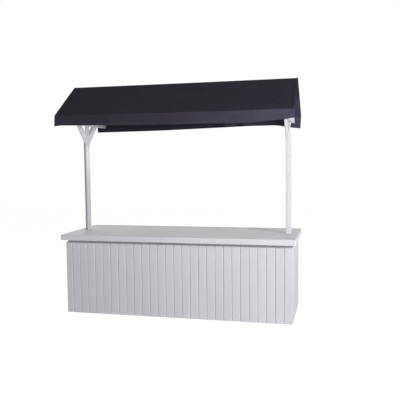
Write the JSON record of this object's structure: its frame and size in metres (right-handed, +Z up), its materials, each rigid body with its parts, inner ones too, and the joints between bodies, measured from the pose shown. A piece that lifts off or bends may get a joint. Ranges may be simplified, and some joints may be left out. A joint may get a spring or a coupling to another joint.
{
  "type": "wooden market stall",
  "caption": "Wooden market stall: a counter clad in vertical boards, with a post at each end that carries a pitched fabric canopy with hanging valances.",
  "frame": {"origin": "on the floor under the middle of the counter", "axes": "+X to the right along the counter as a customer sees it, +Y to the back, +Z up"},
  "size_m": [2.468, 1.044, 2.4339],
  "materials": {
    "cladding_paint": "satin grey paint on boards",
    "worktop_paint": "semi-gloss grey paint",
    "frame_paint": "satin pale grey paint",
    "bare_timber": "planed softwood",
    "canopy_cloth": "woven charcoal canvas"
  },
  "bodies": {
    "root": {"back_bottom_rail": "bare_timber", "back_cladding": "cladding_paint", "back_eave_rail": "frame_paint", "back_stud_1": "bare_timber", "back_stud_2": "bare_timber", "back_stud_3": "bare_timber", "back_stud_4": "bare_timber", "back_top_rail": "cladding_paint", "canopy": "canopy_cloth", "cross_rail": "bare_timber", "front_bottom_rail": "bare_timber", "front_cladding": "cladding_paint", "front_eave_rail": "frame_paint", "front_stud_1": "bare_timber", "front_stud_2": "bare_timber", "front_stud_3": "bare_timber", "front_stud_4": "bare_timber", "front_top_rail": "cladding_paint", "left_back_brace": "frame_paint", "left_back_rafter": "frame_paint", "left_bottom_rail": "bare_timber", "left_end_cladding": "cladding_paint", "left_front_brace": "frame_paint", "left_front_rafter": "frame_paint", "left_king_post": "frame_paint", "left_post": "frame_paint", "left_post_batten": "frame_paint", "left_tie_beam": "frame_paint", "left_top_rail": "cladding_paint", "ridge_rail": "frame_paint", "right_back_brace": "frame_paint", "right_back_rafter": "frame_paint", "right_bottom_rail": "bare_timber", "right_end_cladding": "cladding_paint", "right_front_brace": "frame_paint", "right_front_rafter": "frame_paint", "right_king_post": "frame_paint", "right_post": "frame_paint", "right_post_batten": "frame_paint", "right_tie_beam": "frame_paint", "right_top_rail": "cladding_paint", "worktop": "worktop_paint"}
  },
  "joints": []
}
